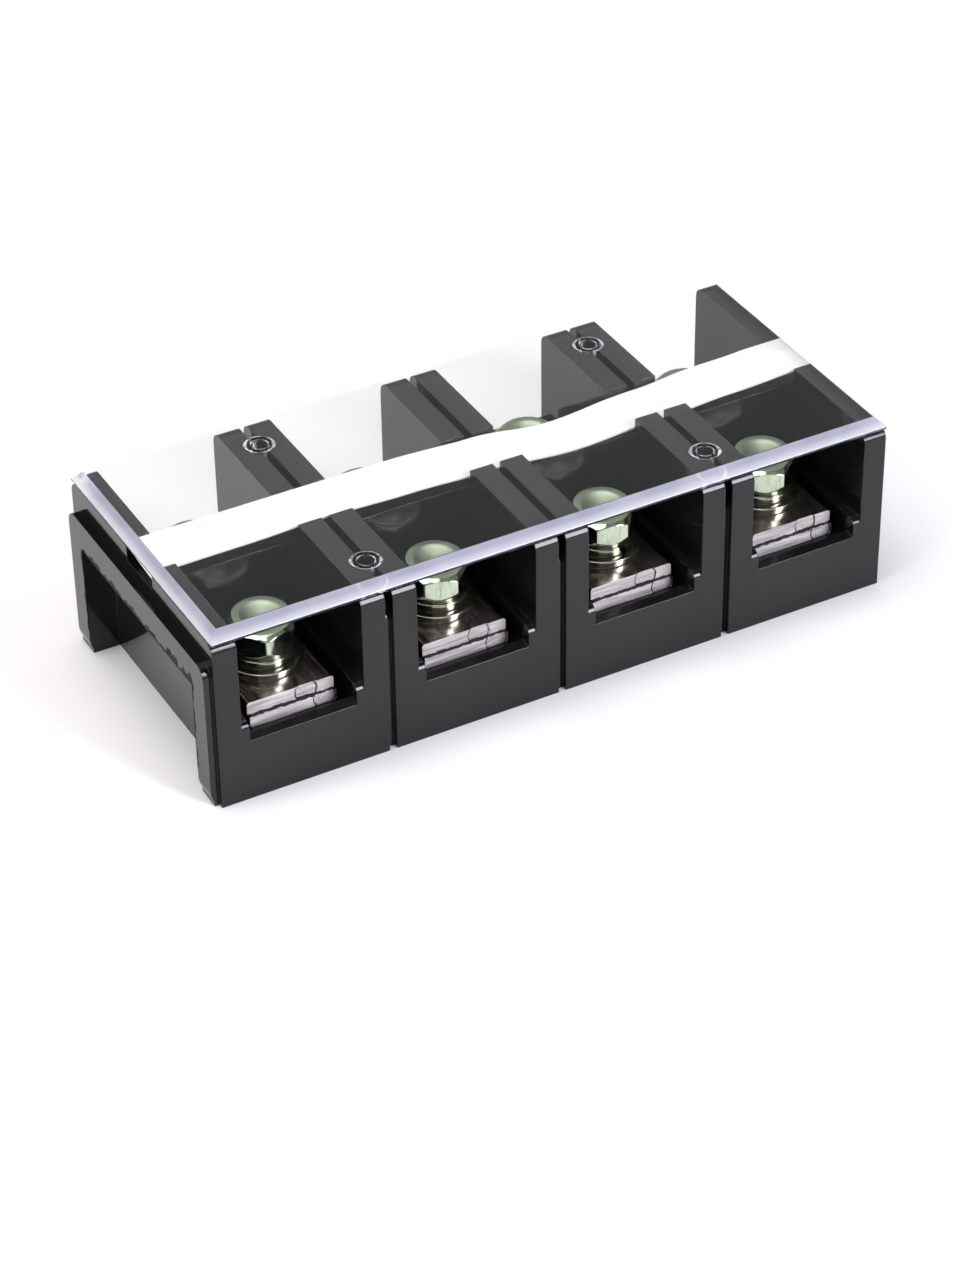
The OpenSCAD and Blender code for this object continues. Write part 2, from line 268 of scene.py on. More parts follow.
plating = {"light": (0.42, 0.37, 0.355, 1), "deep": (0.31, 0.27, 0.26, 1), "tintScale": 140.0,
           "rough": (0.13, 0.24), "brushScale": 240.0, "brushStretch": (5.0, 0.2, 1.0),
           "bump": 0.015, "bumpDepth": 0.02,
           "seam": (0.018, 0.015, 0.014, 1), "seamHalf": 0.4, "seamShare": 0.55, "seamScale": 900.0,
           "endFacing": 0.3, "endRough": 0.5, "endMetal": 0.0, "endUpper": (0.76, 0.70, 0.695, 1),
           "endLower": (1.0, 0.93, 0.92, 1), "endDeep": (0.26, 0.235, 0.235, 1),
           "streak": (0.0, 0.8), "streakScale": 420.0, "streakStretch": (0.35, 1.0, 4.5),
           "hatch": (-0.25, 0.9), "hatchScale": 900.0, "hatchStretch": (3.0, 1.0, 1.2),
           "wander": 0.2, "wanderScale": 450.0, "fade": 4.5, "shadeMost": 0.95,
           "markUpper": 6.0, "markLower": 2.6, "markRadius": 2.3, "markLine": 0.13}


def makeMarkGroup(s):
    # press mark on a bar's end: Ring where |r - radius| < line, Disc where r < radius, with
    # r = sqrt(dx^2 + dz^2) + Ragged, dz = |z - seam| - t / 2, dx = x - centre, repeated at each pole;
    # Upper is 1 above the seam; the painted wall shade falls from its most at the right corner to none over
    # the fade length
    low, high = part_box("lower_bar_1")
    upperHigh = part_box("upper_bar_1")[1]
    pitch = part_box("upper_bar_2")[1].x - upperHigh.x
    lowerX, upperX = high.x - s["markLower"] * mm, upperHigh.x - s["markUpper"] * mm
    radius = s["markRadius"] * mm
    g, given, sink = newGroup(
        "pressMark",
        [("Seam", "Float", high.z), ("Ragged", "Float", 0.0)],
        [("Ring", "Float"), ("Disc", "Float"), ("Upper", "Float"), ("Fade", "Float")])
    x, _, z = addSplit(g, -700, 300, addCoord(g, -900, 300))
    rise = addMath(g, "SUBTRACT", -700, 0, z, given["Seam"])
    isUpper = addMath(g, "GREATER_THAN", -500, 0, rise, 0.0)
    centre = addMath(g, "MULTIPLY_ADD", -300, 0, isUpper, upperX - lowerX, lowerX)
    dx = addMath(g, "WRAP", 0, 200, addMath(g, "SUBTRACT", -150, 200, x, centre), pitch / 2, -pitch / 2)
    dz = addMath(g, "SUBTRACT", 0, 0, addMath(g, "ABSOLUTE", -150, 0, rise), (high.z - low.z) / 2)
    dxSquare = addMath(g, "MULTIPLY", 100, 200, dx, dx)
    dzSquare = addMath(g, "MULTIPLY", 100, 0, dz, dz)
    plain = addMath(g, "SQRT", 350, 100, addMath(g, "ADD", 200, 100, dxSquare, dzSquare))
    r = addMath(g, "ADD", 400, 0, plain, given["Ragged"])
    off = addMath(g, "ABSOLUTE", 450, 200, addMath(g, "SUBTRACT", 420, 200, r, radius))
    # painted shade: the wall's shade on each bar's end, strongest at its right corner
    left = addMath(g, "WRAP", 0, -300, addMath(g, "SUBTRACT", -150, -300, high.x, x), pitch, 0.0)
    feed(g, sink, {"Ring": addMath(g, "LESS_THAN", 550, 200, off, s["markLine"] * mm),
                   "Disc": addMath(g, "LESS_THAN", 550, 0, r, radius),
                   "Upper": isUpper,
                   "Fade": addSpan(g, 300, -300, left, (0.0, s["fade"] * mm), (s["shadeMost"], 0.0))})
    return g


def makePlating(s):
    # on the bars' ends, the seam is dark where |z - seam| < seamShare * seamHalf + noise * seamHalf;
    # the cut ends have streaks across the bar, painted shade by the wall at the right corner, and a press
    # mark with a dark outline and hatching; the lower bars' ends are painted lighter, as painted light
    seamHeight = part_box("upper_bar_1")[0].z
    seamHalf, wander = s["seamHalf"] * mm, s["wander"] * mm
    m, tree, shader = newMaterial("platedBar")
    tint = addTint(tree, -900, 300, s["tintScale"], s["light"], s["deep"])
    brush = addGrain(tree, -900, -100, s["brushScale"], s["rough"], s["brushStretch"])
    _, _, z = addSplit(tree, -1100, -550, addCoord(tree, -1300, -550))
    _, facing, _ = addSplit(tree, -1100, -750, addCoord(tree, -1300, -750, "Normal"))
    side = addMath(tree, "ABSOLUTE", -900, -800, facing)
    isEnd = addMath(tree, "GREATER_THAN", -700, -800, side, s["endFacing"])
    ragged = addGrain(tree, -900, -350, s["seamScale"], (0.0, seamHalf))
    reach = addMath(tree, "ADD", -700, -450, ragged["Value"], s["seamShare"] * seamHalf)
    far = addMath(tree, "ABSOLUTE", -700, -600, addMath(tree, "SUBTRACT", -900, -600, z, seamHeight))
    near = addMath(tree, "LESS_THAN", -500, -550, far, reach)
    wavy = addGrain(tree, -1500, 1150, s["wanderScale"], (-wander, wander))
    mark = placeGroup(tree, makeMarkGroup(s), -1300, 1150, Seam=seamHeight, Ragged=wavy["Value"])
    streak = addGrain(tree, -1300, 700, s["streakScale"], s["streak"], s["streakStretch"])
    hatch = addGrain(tree, -1300, 950, s["hatchScale"], s["hatch"], s["hatchStretch"])
    hatched = addMath(tree, "MULTIPLY", -1050, 950, mark["Disc"], hatch["Value"], clamp=True)
    shade = addMath(tree, "MAXIMUM", -900, 750, streak["Value"], hatched)
    # painted shade by the wall joins the real streaks and hatching
    marksAndWallShade = addMath(tree, "MAXIMUM", -750, 750, shade, mark["Fade"])
    # painted light: the lower bars' ends, shaded by the lip, get a lighter colour than the upper ones
    heightLitEnds = addMix(tree, -950, 550, mark["Upper"], s["endLower"], s["endUpper"])
    ends = addMix(tree, -700, 550, marksAndWallShade, heightLitEnds, s["endDeep"])
    either = addMix(tree, -550, 400, isEnd, tint, ends)
    dark = addMath(tree, "MULTIPLY", -300, -650, near, isEnd)
    ringed = addMath(tree, "MULTIPLY", -300, -850, mark["Ring"], isEnd)
    lined = addMath(tree, "MAXIMUM", -150, -650, dark, ringed)
    feed(tree, shader, {
        "Base Color": addMix(tree, -300, 250, lined, either, s["seam"]),
        "Metallic": addMix(tree, -300, 50, isEnd, 1.0, s["endMetal"], "FLOAT"),
        "Roughness": addMix(tree, -300, -50, isEnd, brush["Value"], s["endRough"], "FLOAT")})
    addBump(tree, shader, brush["Height"], s["bump"], s["bumpDepth"])
    return m


zinc = {"tintScale": 190.0, "scratch": (-0.5, 0.55), "scratchScale": 2600.0, "wornShare": 0.45,
        "brushScale": 520.0, "topShadeShare": 0.64, "upward": (0.84, 0.93), "bump": 0.06, "bumpDepth": 0.03}
boltZinc = {"light": (0.57, 0.64, 0.51, 1), "deep": (0.45, 0.53, 0.40, 1), "rough": (0.08, 0.16),
            "topRough": 0.46, "stretch": (1.0, 1.0, 0.12)}
washerZinc = {"light": (0.52, 0.515, 0.44, 1), "deep": (0.38, 0.38, 0.31, 1), "rough": (0.12, 0.21),
              "topRough": 0.18, "stretch": (1.0, 1.0, 0.15)}


def darker(colour, share):
    return tuple(share * v for v in colour[:3]) + (1,)


def makeZinc(name, s):
    # faces that look up get painted shade, a darker base colour, and are as rough as topRough; the rest
    # is brushed, with scratches
    m, tree, shader = newMaterial(name)
    tint = addTint(tree, -900, 300, zinc["tintScale"], s["light"], s["deep"])
    scratch = addGrain(tree, -900, 600, zinc["scratchScale"], zinc["scratch"], s["stretch"])
    brush = addGrain(tree, -900, -100, zinc["brushScale"], s["rough"], s["stretch"])
    _, _, facing = addSplit(tree, -1100, -400, addCoord(tree, -1300, -400, "Normal"))
    upward = addSpan(tree, -800, -400, facing, zinc["upward"])
    worn = addMix(tree, -300, 400, scratch["Value"], tint, darker(s["deep"], zinc["wornShare"]))
    # painted shade: faces that look up take a darker base colour
    feed(tree, shader, {
        "Base Color": addMix(tree, -100, 400, upward, worn, darker(s["deep"], zinc["topShadeShare"])),
        "Metallic": 1.0,
        "Roughness": addMix(tree, -300, -150, upward, brush["Value"], s["topRough"], "FLOAT")})
    addBump(tree, shader, brush["Height"], zinc["bump"], zinc["bumpDepth"])
    return m


sheet = {"colour": (1.0, 1.0, 1.0, 1), "ior": 1.49, "smear": (0.0, 0.012), "smearScale": 45.0,
         "smearStretch": (1.0, 1.6, 1.0), "shadow": (0.95, 0.95, 0.955, 1)}


def makeClear(s):
    # shadow rays and diffuse light go straight through the sheet
    m, tree, shader = newMaterial("clearSheet")
    smear = addGrain(tree, -900, -100, s["smearScale"], s["smear"], s["smearStretch"])
    feed(tree, shader, {"Base Color": s["colour"], "Transmission Weight": 1.0, "IOR": s["ior"],
                        "Roughness": smear["Value"]})
    path = addNode(tree, "ShaderNodeLightPath", 0, 400)
    passes = addMath(tree, "MAXIMUM", 150, 450, path.outputs["Is Shadow Ray"], path.outputs["Is Diffuse Ray"])
    through = addNode(tree, "ShaderNodeBsdfTransparent", 0, 120)
    feed(tree, through, {"Color": s["shadow"]})
    mix = addNode(tree, "ShaderNodeMixShader", 350, 250)
    feed(tree, mix, {0: passes, 1: shader.outputs["BSDF"], 2: through.outputs["BSDF"]})
    feed(tree, tree.nodes["Material Output"], {"Surface": mix.outputs["Shader"]})
    return m


rim = {"foot": (0.88, 0.88, 0.98, 1), "footStart": 0.35, "pale": (0.58, 0.58, 0.70, 1),
       "deep": (0.45, 0.455, 0.58, 1), "tintScale": 90.0, "through": 0.42, "rough": 0.12, "ior": 1.49,
       "frost": (0.95, 0.95, 0.96, 1), "frostReach": 9.0, "frostFull": 0.3, "frostPatch": (-0.2, 1.2),
       "frostScale": 500.0, "lean": (0.3, 0.95)}


def makeRim(s):
    # the sloped rim is painted pale, as painted light for the light that runs inside the sheet and leaves it
    # there, brightest at its foot; the back left corner is knocked and frosted in patches
    low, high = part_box("clear_cover")
    slope = (cover["sheet"] - cover["lip"]) * mm
    reach = s["frostReach"] * mm
    m, tree, shader = newMaterial("clearRim")
    place = addCoord(tree, -1100, 0)
    _, _, z = addSplit(tree, -900, 0, place)
    tint = addTint(tree, -900, 300, s["tintScale"], s["pale"], s["deep"])
    down = addSpan(tree, -650, 0, z, (high.z - s["footStart"] * slope, high.z - slope))
    # painted light: pale rim colour, lightest towards its foot
    paintedGlow = addMix(tree, -300, 250, down, tint, s["foot"])
    away = addNode(tree, "ShaderNodeVectorMath", -900, -250, operation="DISTANCE")
    feed(tree, away, {0: place, 1: (low.x, high.y, high.z)})
    near = addSpan(tree, -650, -250, away.outputs["Value"], (reach, s["frostFull"] * reach))
    patch = addGrain(tree, -900, -450, s["frostScale"], s["frostPatch"])
    frost = addMath(tree, "MULTIPLY", -450, -300, near, patch["Value"], clamp=True)
    feed(tree, shader, {"Base Color": addMix(tree, -100, 250, frost, paintedGlow, s["frost"]),
                        "Transmission Weight": s["through"], "Roughness": s["rough"], "IOR": s["ior"]})
    return m


card = {"light": (0.95, 0.94, 0.92, 1), "deep": (0.90, 0.89, 0.875, 1), "tintScale": 50.0,
        "rough": (0.55, 0.7), "grainScale": 1400.0, "bump": 0.15, "bumpDepth": 0.03}


def makeCard(s):
    m, tree, shader = newMaterial("whiteCard")
    grain = addGrain(tree, -900, -100, s["grainScale"], s["rough"])
    feed(tree, shader, {"Base Color": addTint(tree, -900, 300, s["tintScale"], s["light"], s["deep"]),
                        "Roughness": grain["Value"]})
    addBump(tree, shader, grain["Height"], s["bump"], s["bumpDepth"])
    return m


glint = {"light": (0.74, 0.74, 0.80, 1), "deep": (0.10, 0.10, 0.12, 1), "tintScale": 700.0, "rough": 0.25}


def makeGlint(s):
    # light caught in the moulded pegs: pale and dark by turns
    m, tree, shader = newMaterial("pegGlint")
    feed(tree, shader, {"Base Color": addTint(tree, -900, 300, s["tintScale"], s["light"], s["deep"]),
                        "Roughness": s["rough"]})
    return m


torn = {"dark": (0.002, 0.002, 0.002, 1), "worn": (0.006, 0.006, 0.006, 1), "tintScale": 800.0,
        "rough": (0.5, 0.8), "grainScale": 1600.0, "ior": 1.3}


def makeTorn(s):
    # torn skin left where the moulding flash was cut off
    m, tree, shader = newMaterial("tornFlash")
    grain = addGrain(tree, -900, -100, s["grainScale"], s["rough"])
    feed(tree, shader, {"Base Color": addTint(tree, -900, 300, s["tintScale"], s["dark"], s["worn"]),
                        "Roughness": grain["Value"], "IOR": s["ior"]})
    return m


blackMoulding = makeMoulding(moulding)
pegGlint = makeGlint(glint)
tornFlash = makeTorn(torn)
platedBar = makePlating(plating)
zincBolt = makeZinc("zincBolt", boltZinc)
zincWasher = makeZinc("zincWasher", washerZinc)
clearSheet = makeClear(sheet)
clearRim = makeRim(rim)
whiteCard = makeCard(card)
print("materials made")


# CAD nodes that stay: a weld and a flat dissolve clean their triangles. The housings, whose rounds are
# modelled, get a hair's gap, so that no two faces share a plane, and creases. The bars and the cover get
# bevelled edges

clean = {"kinds": ("pole_housing", "lower_bar", "upper_bar", "clear_cover"), "weld": 0.002, "flat": 0.5,
         "gap": 0.02, "crease": 32, "bevel": 0.12, "bevelSegments": 2, "normalWeight": 100}
nodeFinish = {"pole_housing": blackMoulding, "lower_bar": platedBar, "upper_bar": platedBar,
              "flat_washer": zincWasher, "spring_washer": zincWasher, "terminal_bolt": zincBolt,
              "clear_cover": clearSheet, "marker_strip": whiteCard}


def makeCreaseGroup(limit):
    # smooth shading, with a crease along each edge whose faces meet at more than the limit
    g = bpy.data.node_groups.new("creaseByAngle", "GeometryNodeTree")
    for side in ("INPUT", "OUTPUT"):
        g.interface.new_socket("Geometry", in_out=side, socket_type="NodeSocketGeometry")
    source = addNode(g, "NodeGroupInput", -600, 0)
    sink = addNode(g, "NodeGroupOutput", 400, 0)
    angle = addNode(g, "GeometryNodeInputMeshEdgeAngle", -500, -200)
    over = addNode(g, "FunctionNodeCompare", -200, -200, data_type="FLOAT", operation="GREATER_THAN")
    feed(g, over, {0: angle.outputs["Unsigned Angle"], 1: math.radians(limit)})
    smooth = addNode(g, "GeometryNodeSetShadeSmooth", -300, 0, domain="FACE")
    feed(g, smooth, {0: source.outputs[0], "Shade Smooth": True})
    crease = addNode(g, "GeometryNodeSetShadeSmooth", 100, 0, domain="EDGE")
    feed(g, crease, {0: smooth.outputs[0], "Selection": over.outputs[0], "Shade Smooth": False})
    feed(g, sink, {0: crease.outputs[0]})
    return g


creaseGroup = makeCreaseGroup(clean["crease"])


def addModifier(node, name, kind, **values):
    modifier = node.modifiers.new(name, kind)
    for key, value in values.items():
        setattr(modifier, key, value)


def dressNode(name, node, s):
    kind = next(k for k in nodeFinish if name.startswith(k))
    node.data.materials.clear()
    node.data.materials.append(nodeFinish[kind])
    if kind not in s["kinds"]:
        return
    addModifier(node, "weld", "WELD", merge_threshold=s["weld"] * mm)
    addModifier(node, "flat", "DECIMATE", decimate_type="DISSOLVE", angle_limit=math.radians(s["flat"]))
    if kind == "pole_housing":
        addModifier(node, "gap", "DISPLACE", strength=-s["gap"] * mm, mid_level=0.0)
        addModifier(node, "crease", "NODES", node_group=creaseGroup)
    else:
        addModifier(node, "edges", "BEVEL", width=s["bevel"] * mm, segments=s["bevelSegments"],
                    limit_method="ANGLE", angle_limit=math.radians(s["crease"]))
    addModifier(node, "even", "WEIGHTED_NORMAL", keep_sharp=True, weight=s["normalWeight"])


def dressRim(mesh, lean):
    # the sloped faces of the sheet, whose normals lean between upright and level, take the rim's material
    normal = np.empty(len(mesh.polygons) * 3)
    mesh.polygons.foreach_get("normal", normal)
    upright = np.abs(normal.reshape(-1, 3)[:, 2])
    sloped = (upright > lean[0]) & (upright < lean[1])
    mesh.materials.append(clearRim)
    mesh.polygons.foreach_set("material_index", sloped.astype(np.int32))


for name, node in nodes.items():
    dressNode(name, node, clean)
dressRim(nodes["clear_cover"].data, rim["lean"])
print("CAD nodes dressed")


# Terminal bolts: a hexagon head with a collar, a sloped crown and a dished top, over a cut thread

bolt = {"across": 12.5, "height": 6.0, "seatR": 3.9, "collar": 0.8, "collarShare": 0.98, "underSlope": 58,
        "crownShare": 0.90, "crownSlope": 37, "dish": 8.4, "dishDepth": 1.1, "cornerRound": 0.16,
        "cornerBlend": 0.25, "flatTrim": 0.05, "perSide": 22, "crease": 24,
        "diameter": 8.0, "length": 16.0, "pitch": 1.25, "threadDepth": 0.62, "threadFlat": 0.12,
        "runOut": (0.4, 0.8), "point": 1.0, "threadRows": 190, "threadCols": 40,
        "turns": {"front": (14, -17, -7, -21), "back": (12, -25, 20, 7)}}

# rings of the head: steps from the collar's foot, the crown and the dish's edge, and shares of each slope
headRings = {"collarFoot": ((-0.15, 0.0), (-0.04, 0.04), (0.0, 0.15)), "collarTop": -0.02,
             "under": (0.3, 0.65, 0.9), "flats": (0.0, 0.04, 0.2, 0.4, 0.6, 0.8, 0.96, 1.0),
             "crown": (0.06, 0.35, 0.7, 0.96), "crownEdge": -0.08, "dishEdge": (0.12, -0.03),
             "dish": (0.94, 0.85, 0.7, 0.5, 0.3, 0.12, 0.0)}


def hexHead(s, rings):
    # rows are rings of (r, z), so that creases follow the real edges; the hexagon's radius is
    # flatR / cos(local), its corners rounded by a soft minimum: a - k log(1 + exp((a - b) / k))
    u = np.linspace(-1, 1, s["perSide"], endpoint=False)
    local = np.radians(30) * np.sin(u * np.pi / 2)
    angle = (np.arange(6)[:, None] * np.radians(60) + np.radians(30) + local[None, :]).ravel()
    flatR = s["across"] / 2
    sharpR = flatR / math.cos(math.radians(30))
    cornerR = sharpR - s["cornerRound"]
    k = s["cornerBlend"]
    hexR = cornerR - k * np.log1p(np.exp((cornerR - np.tile(flatR / np.cos(local), 6)) / k))
    hexR = np.minimum(hexR + (flatR - hexR.min()), sharpR)
    collarR, crownR, edge = s["collarShare"] * flatR, s["crownShare"] * flatR, s["dish"] / 2
    under, slope = math.tan(math.radians(s["underSlope"])), math.tan(math.radians(s["crownSlope"]))
    top, trim = s["height"], s["flatTrim"]
    low, high = s["collar"] + (hexR - collarR) * under, top - (hexR - crownR) * slope
    rows = [(s["seatR"], 0.0)]
    rows += [(collarR + a, b) for a, b in rings["collarFoot"]]
    rows += [(collarR, s["collar"] + rings["collarTop"])]
    rows += [(collarR + (hexR - collarR) * t, s["collar"] + (hexR - collarR) * t * under)
             for t in rings["under"]]
    rows += [(hexR, low + trim + (high - low - 2 * trim) * t) for t in rings["flats"]]
    rows += [(hexR + (crownR - hexR) * t, high + (top - high) * t) for t in rings["crown"]]
    rows += [(crownR + rings["crownEdge"], top), (edge + rings["dishEdge"][0], top)]
    rows += [(edge, top + rings["dishEdge"][1])]
    rows += [(edge * t, top - s["dishDepth"] * (1 - t * t)) for t in rings["dish"]]
    r = np.array([np.broadcast_to(a, angle.shape) for a, _ in rows])
    z = np.array([np.broadcast_to(b, angle.shape) for _, b in rows])
    return roundAxis(r, angle, z), gridFaces(len(rows), angle.size, True)


def cutThread(s):
    # r = outer - depth (1 - saw) fade, saw = |2 frac(z / pitch + angle / turn) - 1| with flat crests and
    # roots; the cut fades out under the head, and the tip is pointed at 45 degrees
    angle = fullTurn(s["threadCols"])[None, :]
    z = np.linspace(0.0, -s["length"], s["threadRows"])[:, None]
    saw = np.abs(((z / s["pitch"] + angle / (2 * np.pi)) % 1.0) * 2 - 1)
    saw = np.clip((saw - s["threadFlat"]) / (1 - 2 * s["threadFlat"]), 0, 1)
    fade = np.clip((-z - s["runOut"][0]) / s["runOut"][1], 0, 1)
    outer = s["diameter"] / 2
    tip = outer - np.clip(-z - (s["length"] - s["point"]), 0, s["point"])
    r = np.minimum(outer - s["threadDepth"] * (1 - saw) * fade, tip)
    r = np.concatenate([r, np.zeros((1, s["threadCols"]))])
    z = np.concatenate([z, [[-s["length"]]]])
    return roundAxis(r, angle, z), gridFaces(len(r), s["threadCols"], True)[:, ::-1]


headVerts, headFaces = hexHead(bolt, headRings)
threadVerts, threadFaces = cutThread(bolt)


def placeBolt(row, k):
    node = f"terminal_bolt_{row}_{k}"
    low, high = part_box(f"flat_washer_{row}_{k}")
    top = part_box(f"spring_washer_{row}_{k}")[1].z
    spin = np.array(Matrix.Rotation(math.radians(bolt["turns"][row][k - 1]), 3, "Z"))
    place = np.array(((low.x + high.x) / 2, (low.y + high.y) / 2, top))
    verts = np.concatenate([headVerts @ spin.T, threadVerts]) * mm + place
    faces = np.concatenate([headFaces, threadFaces + len(headVerts)])
    piece = meshPiece(f"terminalBolt_{row}_{k}", verts, faces, zincBolt, f"bolt_{row}_{k}")
    piece.data.set_sharp_from_angle(angle=math.radians(bolt["crease"]))
    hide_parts(node)


# Washers: a flat ring, and above it a split ring pressed flat

washer = {"bore": 4.15, "round": 0.24, "springRound": 0.32, "cornerSteps": 6, "flatCols": 112,
          "springCols": 120, "slant": 25, "split": 1.1, "crease": 40,
          "splits": {"front": (60, 130, -77, 100), "back": (40, 200, -150, 10)}}


def ringProfile(inner, outer, height, r, steps):
    # closed outline of a rectangle in (radius, height) with four rounded corners
    t = np.radians(np.linspace(0, 90, steps))
    corners = ((outer - r, height - r, 0), (inner + r, height - r, 90),
               (inner + r, r, 180), (outer - r, r, 270))
    arcs = [(a + r * np.cos(t + math.radians(k)), b + r * np.sin(t + math.radians(k))) for a, b, k in corners]
    return np.concatenate([np.stack(arc, -1) for arc in arcs])


def flatRing(outer, height, s):
    outline = ringProfile(s["bore"], outer, height, s["round"], s["cornerSteps"])
    verts = roundAxis(outline[:, :1], fullTurn(s["flatCols"]), outline[:, 1:])
    return verts, gridFaces(len(outline), s["flatCols"], True, True)


def splitRing(outer, height, turn, s):
    # angle runs from one lip of the split to the other; both lips lean by the slant:
    # angle -= (z - height / 2) tan(slant) / middle
    outline = ringProfile(s["bore"], outer, height, s["springRound"], s["cornerSteps"])
    n, cols = len(outline), s["springCols"]
    middle = (s["bore"] + outer) / 2
    half = s["split"] / 2 / middle
    r, z = outline[:, :1], outline[:, 1:]
    sweep = np.linspace(half, 2 * np.pi - half, cols)[None, :] + math.radians(turn)
    angle = sweep - (z - height / 2) * math.tan(math.radians(s["slant"])) / middle
    first = np.arange(n) * cols
    lips = [first[::-1].tolist(), (first + cols - 1).tolist()]
    return roundAxis(r, angle, z), gridFaces(n, cols, False, True).tolist() + lips


def placeWashers(row, k):
    body = f"washers_{row}_{k}"
    for kind in ("flat", "spring"):
        node = f"{kind}_washer_{row}_{k}"
        low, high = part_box(node)
        outer, height = (high.x - low.x) / 2 / mm, (high.z - low.z) / mm
        if kind == "flat":
            verts, faces = flatRing(outer, height, washer)
        else:
            verts, faces = splitRing(outer, height, washer["splits"][row][k - 1], washer)
        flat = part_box(f"flat_washer_{row}_{k}")
        place = np.array(((flat[0].x + flat[1].x) / 2, (flat[0].y + flat[1].y) / 2, low.z))
        piece = meshPiece(f"{kind}Washer_{row}_{k}", verts * mm + place, faces, zincWasher, body)
        piece.data.set_sharp_from_angle(angle=math.radians(washer["crease"]))
        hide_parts(node)


for row in ("front", "back"):
    for k in range(1, 5):
        placeBolt(row, k)
        placeWashers(row, k)
print("bolts and washers placed")


# Cover pegs: the root and the mouth of each peg's bore and two places in its wall catch the light

peg = {"rootR": 2.95, "mouthR": 1.8, "tube": 0.09, "glint": 0.36, "glintPower": 5, "facing": -28,
       "mouthShare": 0.8, "mouthWave": 0.06, "mouthLobes": 3, "squash": 0.6, "ringRows": 11, "ringCols": 72,
       "legs": (204, -90), "legR": 2.6, "legDrop": 3.2, "legTube": 0.34, "legTaper": 0.7,
       "legRows": 14, "legCols": 12, "inset": 0.25}


def rootTube(angle, s):
    # thickest on the two sides that face along the facing angle
    side = np.abs(np.cos(angle - math.radians(s["facing"]))) ** s["glintPower"]
    return s["tube"] + (s["glint"] - s["tube"]) * side


def mouthTube(angle, s):
    return s["mouthShare"] * s["tube"] + s["mouthWave"] * np.cos(s["mouthLobes"] * angle)


def ringGlint(radius, tube, s):
    # ring whose tube radius t changes with the angle, pressed flat by squash
    angle = fullTurn(s["ringCols"])[None, :]
    turn = np.linspace(0, 2 * np.pi, s["ringRows"])[:, None]
    t = tube(angle, s)
    verts = roundAxis(radius + t * np.cos(turn), angle, s["inset"] + s["squash"] * t * np.sin(turn))
    return verts, gridFaces(s["ringRows"], s["ringCols"], True)


def legGlint(at, s):
    # upright glint in the peg's wall, thin at both ends: r = legTube sqrt(1 - (2 v^taper - 1)^2), v = 0..1
    v = np.linspace(0, 1, s["legRows"])[:, None]
    r = s["legTube"] * np.sqrt(np.clip(1 - (2 * v ** s["legTaper"] - 1) ** 2, 0, 1))
    place = s["legR"] * np.array((math.cos(math.radians(at)), math.sin(math.radians(at)), 0.0))
    verts = roundAxis(r, fullTurn(s["legCols"]), s["inset"] - s["legDrop"] * v) + place
    return verts, gridFaces(s["legRows"], s["legCols"], True)


def makePegs(s):
    parts = [ringGlint(s["rootR"], rootTube, s), ringGlint(s["mouthR"], mouthTube, s)]
    parts += [legGlint(at, s) for at in s["legs"]]
    starts = np.cumsum([0] + [len(v) for v, _ in parts[:-1]])
    verts = np.concatenate([v for v, _ in parts])
    faces = np.concatenate([f + k for (_, f), k in zip(parts, starts)])
    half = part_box("pole_housing_1")[1].y - cover["pegSetback"] * mm
    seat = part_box("clear_cover")[1].z - cover["sheet"] * mm
    for g in cover["pegGrooves"]:
        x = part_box(f"pole_housing_{g}")[1].x + cover["grooveHalf"] * mm
        for row, y in (("front", -half), ("back", half)):
            place = np.array((x, y, seat))
            meshPiece(f"pegGlint_{row}_{g}", verts * mm + place, faces, pegGlint, "cover")


makePegs(peg)
print("pegs lit")


# Torn flash along the inner edge of the left arch

flash = {"edge": 6.8, "foot": 6.0, "arch": 25.8, "leg": 0.55, "top": 1.0, "skin": 0.02, "sink": 0.2,
         "steps": 420, "middle": 0.7, "least": 0.08, "most": 2, "bulge": 1.3, "bulgeAt": 5, "bulgeReach": 6,
         "waves": ((0.35, 0.7, 0), (0.25, 1.9, 1), (0.15, 4.3, 2), (0.1, 9.7, 0))}


def makeFlash(s):
    # path: up the front leg, along the arch, down the back leg; the width is a base times
    # middle + sum of amount sin(rate p + shift), and it bulges past the front corner
    low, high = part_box("pole_housing_1")
    front, back, arch = low.y + s["edge"] * mm, high.y - s["edge"] * mm, s["arch"] * mm
    corners = np.array([(front, s["foot"] * mm), (front, arch), (back, arch), (back, s["foot"] * mm)])
    outward = np.array([(-1.0, 0.0), (0.0, 1.0), (1.0, 0.0)])
    length = np.linalg.norm(np.diff(corners, axis=0), axis=1)
    run = np.concatenate([[0], np.cumsum(length)])
    along = np.linspace(0, run[-1], s["steps"])
    k = np.clip(np.searchsorted(run, along, side="right") - 1, 0, 2)
    point = corners[k] + (corners[k + 1] - corners[k]) * ((along - run[k]) / length[k])[:, None]
    p = along / mm
    ragged = sum((amount * np.sin(rate * p + shift) for amount, rate, shift in s["waves"]), s["middle"])
    bulge = 1 + s["bulge"] * np.exp(-((p - run[1] / mm - s["bulgeAt"]) / s["bulgeReach"]) ** 2)
    width = np.where(k == 1, s["top"], s["leg"]) * np.clip(ragged, s["least"], s["most"]) * bulge * mm
    outer = point + outward[k] * width[:, None]
    face, root = low.x - s["skin"] * mm, low.x + s["sink"] * mm
    rows = [np.stack([np.full(s["steps"], x), q[:, 0], q[:, 1]], -1)
            for x, q in ((root, point), (face, point), (face, outer), (root, outer))]
    faces = gridFaces(len(rows), s["steps"])
    meshPiece("archFlash", np.concatenate(rows), faces, tornFlash, "block", False)


makeFlash(flash)
print("flash trimmed")


# Marker strip: a card that waves along its channel and curls a little across it

